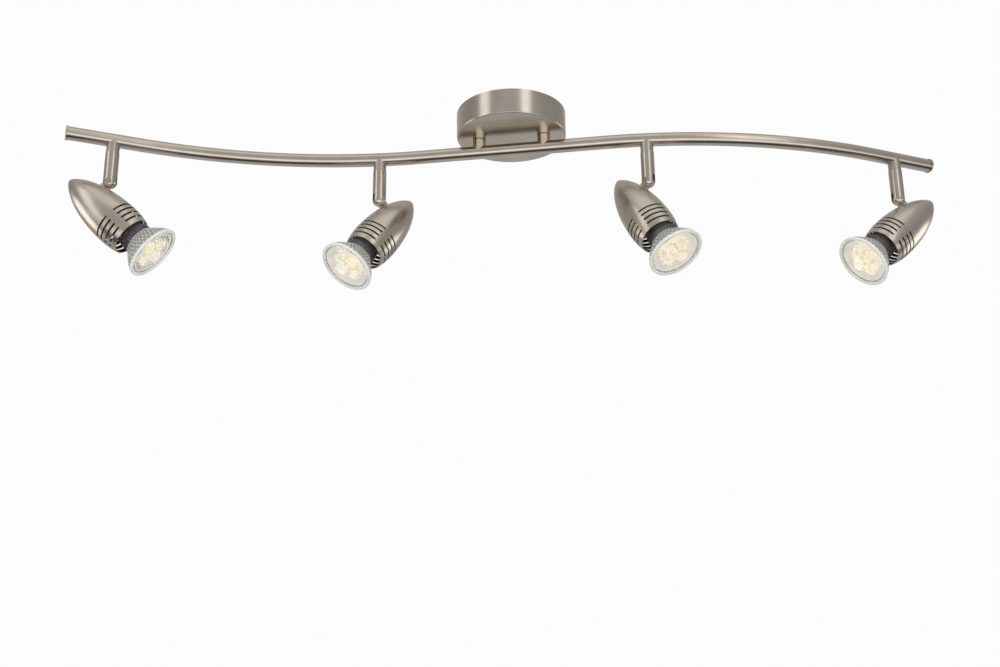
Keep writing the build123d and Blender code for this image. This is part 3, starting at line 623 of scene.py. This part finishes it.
def lensHeight(radius, angle):
    # domes over the four chips, fine ribs near the edge and a groove round them
    height = 0.0
    for chip in range(lens["chips"]):
        turn = chip * 2 * pi / lens["chips"]
        away = hypot(radius * cos(angle) - lens["domeCircle"] * cos(turn),
                     radius * sin(angle) - lens["domeCircle"] * sin(turn))
        if away < lens["domeRadius"]:
            height = max(height, lens["domeHeight"] * (1 - (away / lens["domeRadius"]) ** 2))
    if lens["ribFrom"] < radius < lens["ribTo"]:
        share = (radius - lens["ribFrom"]) / (lens["ribTo"] - lens["ribFrom"])
        height += lens["ribHeight"] * sin(pi * share) * (0.5 + 0.5 * cos(lens["ribs"] * angle))
    height -= lens["ringDepth"] * max(0.0, 1 - (abs(radius - lens["ringRadius"]) / lens["ringWidth"]) ** 2)
    return height


def makeLens(number, place):
    shape = bmesh.new()
    front, back = -lens["recess"], -lens["recess"] - lens["thickness"]
    centre = shape.verts.new((front + lensHeight(0, 0), 0, 0))
    previous = None
    for count in range(1, lens["rings"] + 1):
        radius = lens["radius"] * count / lens["rings"]
        ring = []
        for step in range(lens["around"]):
            angle = 2 * pi * step / lens["around"]
            along = front + lensHeight(radius, angle)
            ring.append(shape.verts.new((along, radius * cos(angle), radius * sin(angle))))
        for step in range(lens["around"]):
            after = (step + 1) % lens["around"]
            if previous is None:
                shape.faces.new((centre, ring[step], ring[after]))
            else:
                shape.faces.new((previous[step], ring[step], ring[after], previous[after]))
        previous = ring
    rear = [shape.verts.new((back, vert.co.y, vert.co.z)) for vert in previous]
    for step in range(lens["around"]):
        after = (step + 1) % lens["around"]
        shape.faces.new((previous[step], rear[step], rear[after], previous[after]))
    shape.faces.new(rear)
    disc = meshFrom(f"lampLens_{number}", shape, smoothAngle=50)
    disc.materials.append(clearLens)
    disc.transform(place)
    piece = link(bpy.data.objects.new(f"lampLens_{number}", disc))
    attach(piece, f"lamp_{number}")
    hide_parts(f"lamp_lens_{number}")


def ringTree():
    # copies one shape to evenly spaced places on a ring about the X axis
    tree, start, end = newTree("ringOfPieces", {
        "Count": "NodeSocketInt", "Radius": "NodeSocketFloat", "Along": "NodeSocketFloat",
        "Material": "NodeSocketMaterial"})
    join = tree.links.new
    circle = addNode(tree, "GeometryNodeMeshCircle")
    turn = addNode(tree, "GeometryNodeTransform")
    turn.inputs["Rotation"].default_value = (0, pi / 2, 0)
    move = addNode(tree, "ShaderNodeCombineXYZ")
    shift = addNode(tree, "GeometryNodeTransform")
    place = addNode(tree, "GeometryNodeInputPosition")
    aim = addNode(tree, "FunctionNodeAlignRotationToVector", axis="Z", pivot_axis="X")
    copies = addNode(tree, "GeometryNodeInstanceOnPoints")
    realize = addNode(tree, "GeometryNodeRealizeInstances")
    finish = addNode(tree, "GeometryNodeSetMaterial")
    join(start.outputs["Count"], circle.inputs["Vertices"])
    join(start.outputs["Radius"], circle.inputs["Radius"])
    join(circle.outputs["Mesh"], turn.inputs["Geometry"])
    join(turn.outputs["Geometry"], copies.inputs["Points"])
    join(start.outputs["Geometry"], copies.inputs["Instance"])
    join(place.outputs["Position"], aim.inputs["Vector"])
    join(aim.outputs["Rotation"], copies.inputs["Rotation"])
    join(copies.outputs["Instances"], realize.inputs["Geometry"])
    join(start.outputs["Along"], move.inputs["X"])
    join(realize.outputs["Geometry"], shift.inputs["Geometry"])
    join(move.outputs["Vector"], shift.inputs["Translation"])
    join(shift.outputs["Geometry"], finish.inputs["Geometry"])
    join(start.outputs["Material"], finish.inputs["Material"])
    join(finish.outputs["Geometry"], end.inputs["Geometry"])
    return tree


ringOfPieces = ringTree()


def ringMesh(name, shape, count, radius, along, material, smoothAngle):
    source = meshFrom(f"{name}Source", shape, smoothAngle)
    return runTree(name, source, ringOfPieces, {
        "Count": count, "Radius": radius, "Along": along, "Material": material})


def boxShape(low, high, rounding=0):
    shape = bmesh.new()
    bmesh.ops.create_cube(shape, size=1)
    for vert in shape.verts:
        vert.co = Vector([low[axis] if vert.co[axis] < 0 else high[axis] for axis in range(3)])
    if rounding:
        bmesh.ops.bevel(shape, geom=shape.edges[:], offset=rounding, segments=2, affect="EDGES", profile=0.5)
    return shape


def joinMeshes(name, meshes):
    # one mesh of several, each with its own material
    shape = bmesh.new()
    materials = []
    for mesh in meshes:
        first = len(shape.faces)
        shape.from_mesh(mesh)
        shape.faces.ensure_lookup_table()
        used = list(mesh.materials)
        for face in shape.faces[first:]:
            material = used[face.material_index]
            if material not in materials:
                materials.append(material)
            face.material_index = materials.index(material)
    made = bpy.data.meshes.new(name)
    shape.to_mesh(made)
    shape.free()
    for material in materials:
        made.materials.append(material)
    return made


cones = {
    "frontRadius": 6.6 * mm,
    "backRadius": 2.8 * mm,
    "end": 14.2 * mm,
    "hollowRadius": 1.2 * mm,
    "hollowDepth": 2.2 * mm,
    "hollowEnd": 2.6 * mm,
    "steps": 10,
    "around": 32,
}


def makeCollimators(number, place):
    # clear cones between the chips and the lens, with a hollow over each chip
    front, back = -lens["recess"] - lens["thickness"], -cones["end"]
    hollow = cones["hollowRadius"]
    wallCurve = bezier(((front, cones["frontRadius"]), (front * 0.6 + back * 0.4, cones["frontRadius"]),
                        (back * 0.9 + front * 0.1, cones["backRadius"] * 1.5), (back, cones["backRadius"])),
                       cones["steps"])
    profile = wallCurve + [(back, hollow), (back + cones["hollowDepth"], hollow * 0.8),
                           (back + cones["hollowEnd"], 0), (front, 0)]
    shape = bmesh.new()
    lathe(shape, profile, cones["around"])
    mesh = ringMesh(f"lampCollimators_{number}", shape, lens["chips"], lens["domeCircle"], 0, coneGlass, 40)
    mesh.transform(place)
    piece = link(bpy.data.objects.new(f"lampCollimators_{number}", mesh))
    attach(piece, f"lamp_{number}")


board = {
    "front": 15.3 * mm,
    "thickness": 1.2 * mm,
    "radius": 12.2 * mm,
    "edge": 0.3 * mm,
    "around": 64,
    "chipSize": 3.4 * mm,
    "chipHeight": 0.5 * mm,
    "chipRound": 0.25 * mm,
    "chipSunk": 0.1 * mm,
    "windowShare": 0.82,
    "windowProud": 0.1 * mm,
    "windowRound": 0.08 * mm,
    "padHalfLength": 2.55 * mm,
    "padHalfWidth": 0.4 * mm,
    "padSunk": 0.05 * mm,
    "padProud": 0.08 * mm,
    "padCircleShare": 0.85,
}


def makeBoard(number, place):
    # a round board with four square chips, each under a window, and solder pads near the edge
    front, half = -board["front"], board["chipSize"] / 2
    rear, inset = front - board["thickness"], board["radius"] - board["edge"]
    disc = bmesh.new()
    lathe(disc, [(front, 0), (front, inset), (front - board["edge"], board["radius"]),
                 (rear, board["radius"]), (rear, 0)], board["around"])
    discMesh = meshFrom("board", disc, smoothAngle=30)
    discMesh.materials.append(boardWhite)
    body = boxShape((-board["chipSunk"], -half, -half), (board["chipHeight"], half, half), board["chipRound"])
    bodies = ringMesh("chipBodies", body, lens["chips"], lens["domeCircle"], front, boardWhite, 30)
    cell = half * board["windowShare"]
    window = boxShape((0, -cell, -cell), (board["chipHeight"] + board["windowProud"], cell, cell),
                      board["windowRound"])
    windows = ringMesh("chipWindows", window, lens["chips"], lens["domeCircle"], front, chipPhosphor, 30)
    pad = boxShape((-board["padSunk"], -board["padHalfLength"], -board["padHalfWidth"]),
                   (board["padProud"], board["padHalfLength"], board["padHalfWidth"]))
    padCircle = board["radius"] * board["padCircleShare"]
    pads = ringMesh("chipPads", pad, lens["chips"] * 2, padCircle, front, zincPlate, 30)
    mesh = joinMeshes(f"lampBoard_{number}", [discMesh, bodies, windows, pads])
    mesh.transform(place)
    piece = link(bpy.data.objects.new(f"lampBoard_{number}", mesh))
    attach(piece, f"lamp_{number}")
    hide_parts(f"lamp_leds_{number}")


neck = {
    "start": 17.6 * mm,
    "sunk": 1.0 * mm,
    "mouthGap": 0.2 * mm,
    "edge": 0.3 * mm,
    "ringEnd": 22.1 * mm,
    "ringRadius": 13.3 * mm,
    "shoulder": ((0.4 * mm, 0.5 * mm), (1.2 * mm, 0.4 * mm)),  # how far behind the ring, and how far out
    "taperEnd": 31.1 * mm,
    "taperRadius": 12.4 * mm,
    "end": 46 * mm,
    "endRadius": 11.6 * mm,
    "round": 0.8 * mm,
    "grooves": (33.5 * mm, 36.5 * mm, 39.5 * mm),
    "grooveDepth": 0.5 * mm,
    "grooveTop": 0.5 * mm,
    "grooveFloor": 0.3 * mm,
    "around": 96,
    "ribs": 36,
    "ribGap": 0.6 * mm,
    "ribHalfWidth": 0.42 * mm,
    "ribSunk": 0.2 * mm,
    "ribProud": 0.7 * mm,
    "ribRound": 0.2 * mm,
}


def neckProfile():
    # from the plug in the bowl's mouth, over the ribbed ring and the shoulder, to the grooved base
    start, ringEnd, ringRadius, end = neck["start"], neck["ringEnd"], neck["ringRadius"], neck["end"]
    mouth = bowl["endRadius"] - bowl["wall"] - neck["mouthGap"]
    profile = [(-start + neck["sunk"], 0), (-start + neck["sunk"], mouth), (-start, mouth),
               (-start, ringRadius - neck["edge"]), (-start - neck["edge"], ringRadius), (-ringEnd, ringRadius)]
    profile += [(-ringEnd - along, ringRadius + out) for along, out in neck["shoulder"]]
    profile.append((-neck["taperEnd"], neck["taperRadius"]))
    for groove in neck["grooves"]:
        share = (groove - neck["taperEnd"]) / (end - neck["taperEnd"])
        radius = neck["taperRadius"] - (neck["taperRadius"] - neck["endRadius"]) * share
        low = radius - neck["grooveDepth"]
        profile += [(-groove + neck["grooveTop"], radius), (-groove + neck["grooveFloor"], low),
                    (-groove - neck["grooveFloor"], low), (-groove - neck["grooveTop"], radius)]
    rounding = neck["round"]
    return profile + [(-end + rounding, neck["endRadius"]), (-end, neck["endRadius"] - rounding), (-end, 0)]


def makeNeck(number, place):
    body = bmesh.new()
    lathe(body, neckProfile(), neck["around"])
    bodyMesh = meshFrom("neckBody", body, smoothAngle=35)
    bodyMesh.materials.append(neckPlastic)
    half, wide = (neck["ringEnd"] - neck["start"] - neck["ribGap"]) / 2, neck["ribHalfWidth"]
    rib = boxShape((-half, -wide, -neck["ribSunk"]), (half, wide, neck["ribProud"]), neck["ribRound"])
    middle = -(neck["start"] + neck["ringEnd"]) / 2
    ribs = ringMesh("neckRibs", rib, neck["ribs"], neck["ringRadius"], middle, ribGlass, 35)
    mesh = joinMeshes(f"lampNeck_{number}", [bodyMesh, ribs])
    mesh.transform(place)
    piece = link(bpy.data.objects.new(f"lampNeck_{number}", mesh))
    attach(piece, f"lamp_{number}")
    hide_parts(f"lamp_base_{number}")


for number in spotNumbers:
    place = lampFrame(number)
    makeBowl(number, place)
    makeLens(number, place)
    makeCollimators(number, place)
    makeBoard(number, place)
    makeNeck(number, place)
print("lamps made")


studio = {
    "floorLevel": -1.05,
    "floorSize": 30,
    "floorColour": (0.93, 0.93, 0.92),
    "floorRoughness": 0.7,
    "floorGlow": {"colour": (1.0, 1.0, 0.99), "strength": 0.32},
    "backdrop": (0.975, 0.975, 0.975),
    "warmth": (1.0, 0.975, 0.945),
    # the surroundings fade to this share sideways, from the first turn to the second (1 is straight sideways)
    "sides": 0.68,
    "sidesFrom": 0.3,
    "sidesTo": 0.92,
    # brightness of the surroundings by angle: 0 in front, 90 straight up, 180 behind, -90 straight down
    "brightest": 2.0,
    "surroundings": ((-180, 0.46), (-125, 0.56), (-100, 0.40), (-90, 0.05), (-64, 0.05), (-52, 0.35),
                     (-42, 1.4), (-26, 1.4), (-14, 0.50), (20, 0.46), (55, 0.52), (90, 0.50),
                     (140, 0.46), (180, 0.46)),
    "softboxTarget": (0, 0, -0.1),
    "softboxes": {
        "leftSoftbox": {"place": (-1.9, -0.95, 0.6), "size": (0.75, 2.0), "power": 4.4},
        "rightSoftbox": {"place": (0.85, -1.9, 0.65), "size": (0.65, 1.8), "power": 3.4},
        "sideSoftboxRight": {"place": (1.9, 0.45, -0.25), "size": (0.9, 0.8), "power": 3.6},
        "sideSoftboxLeft": {"place": (-1.9, 0.45, -0.25), "size": (0.9, 0.8), "power": 3.6},
        "topSoftbox": {"place": (0.0, -0.8, 1.5), "size": (2.4, 1.2), "power": 3.0},
    },
}


def makeWorld():
    world = bpy.data.worlds.new("studio")
    bpy.context.scene.world = world
    world.use_nodes = True
    tree = world.node_tree
    tree.nodes.clear()
    join = tree.links.new
    coordinates = addNode(tree, "ShaderNodeTexCoord")
    parts = addNode(tree, "ShaderNodeSeparateXYZ")
    side = addNode(tree, "ShaderNodeMath", operation="ABSOLUTE")
    sideShade = addNode(tree, "ShaderNodeMapRange", interpolation_type="SMOOTHSTEP")
    setInputs(sideShade, From_Min=studio["sidesFrom"], From_Max=studio["sidesTo"],
              To_Min=studio["brightest"], To_Max=studio["brightest"] * studio["sides"])
    flip = addNode(tree, "ShaderNodeMath", operation="MULTIPLY")
    flip.inputs[1].default_value = -1
    angle = addNode(tree, "ShaderNodeMath", operation="ARCTAN2")
    share = addNode(tree, "ShaderNodeMapRange")
    setInputs(share, From_Min=-pi, From_Max=pi)
    ramp = addNode(tree, "ShaderNodeValToRGB")
    stops = ramp.color_ramp.elements
    for turn, value in studio["surroundings"]:
        # the ramp starts with a stop at each end, and the others go between them
        stop = stops[0] if turn == -180 else stops[-1] if turn == 180 else stops.new((turn + 180) / 360)
        stop.color = tuple(value / studio["brightest"] * tint for tint in studio["warmth"]) + (1,)
    surroundings = addNode(tree, "ShaderNodeBackground")
    plain = addNode(tree, "ShaderNodeBackground")
    plain.inputs["Color"].default_value = (*studio["backdrop"], 1)
    path = addNode(tree, "ShaderNodeLightPath")
    choose = addNode(tree, "ShaderNodeMixShader")
    output = addNode(tree, "ShaderNodeOutputWorld")
    join(coordinates.outputs["Generated"], parts.inputs["Vector"])
    join(parts.outputs["X"], side.inputs[0])
    join(side.outputs[0], sideShade.inputs["Value"])
    join(sideShade.outputs["Result"], surroundings.inputs["Strength"])
    join(parts.outputs["Y"], flip.inputs[0])
    join(parts.outputs["Z"], angle.inputs[0])
    join(flip.outputs[0], angle.inputs[1])
    join(angle.outputs[0], share.inputs["Value"])
    join(share.outputs["Result"], ramp.inputs["Fac"])
    join(ramp.outputs["Color"], surroundings.inputs["Color"])
    join(path.outputs["Is Camera Ray"], choose.inputs[0])
    join(surroundings.outputs[0], choose.inputs[1])
    join(plain.outputs[0], choose.inputs[2])
    join(choose.outputs[0], output.inputs["Surface"])


def makeSoftbox(name, place, size, power):
    light = bpy.data.lights.new(name, "AREA")
    light.shape = "RECTANGLE"
    light.size, light.size_y = size
    light.energy = power
    light.color = studio["warmth"]
    lamp = link(bpy.data.objects.new(name, light))
    lamp.location = place
    aim = Vector(studio["softboxTarget"]) - Vector(place)
    lamp.rotation_euler = aim.to_track_quat("-Z", "Y").to_euler()
    lamp.visible_camera = False


def makeFloor():
    size = studio["floorSize"] / 2
    mesh = bpy.data.meshes.new("floor")
    corners = [(-size, -size), (size, -size), (size, size), (-size, size)]
    mesh.from_pydata([(x, y, studio["floorLevel"]) for x, y in corners], [], [(0, 1, 2, 3)])
    material, tree, shader = startMaterial("paleFloor")
    setInputs(shader, Base_Color=(*studio["floorColour"], 1), Roughness=studio["floorRoughness"])
    glow(material, **studio["floorGlow"])
    mesh.materials.append(material)
    floor = link(bpy.data.objects.new("floor", mesh))
    floor.visible_glossy = False
    floor.visible_diffuse = False


view = {
    "lens": 49.29,
    "sensorWidth": 36,
    "place": (-0.132128, -1.100484, -0.592839),
    "turn": -6.219,
    "rise": 19.089,
    "roll": 0.614,
}


def makeCamera():
    camera = bpy.data.cameras.new("camera")
    camera.lens = view["lens"]
    camera.sensor_width = view["sensorWidth"]
    holder = link(bpy.data.objects.new("camera", camera))
    holder.location = view["place"]
    turn = Matrix.Rotation(radians(view["turn"]), 4, "Z")
    rise = Matrix.Rotation(radians(view["rise"]), 4, "X")
    roll = Matrix.Rotation(radians(view["roll"]), 4, "Y")
    level = Matrix.Rotation(radians(90), 4, "X")
    holder.rotation_euler = (turn @ rise @ roll @ level).to_euler()
    bpy.context.scene.camera = holder


makeWorld()
for name, softbox in studio["softboxes"].items():
    makeSoftbox(name, **softbox)
makeFloor()
makeCamera()
bpy.context.scene.view_settings.view_transform = "Standard"
print("stage set")
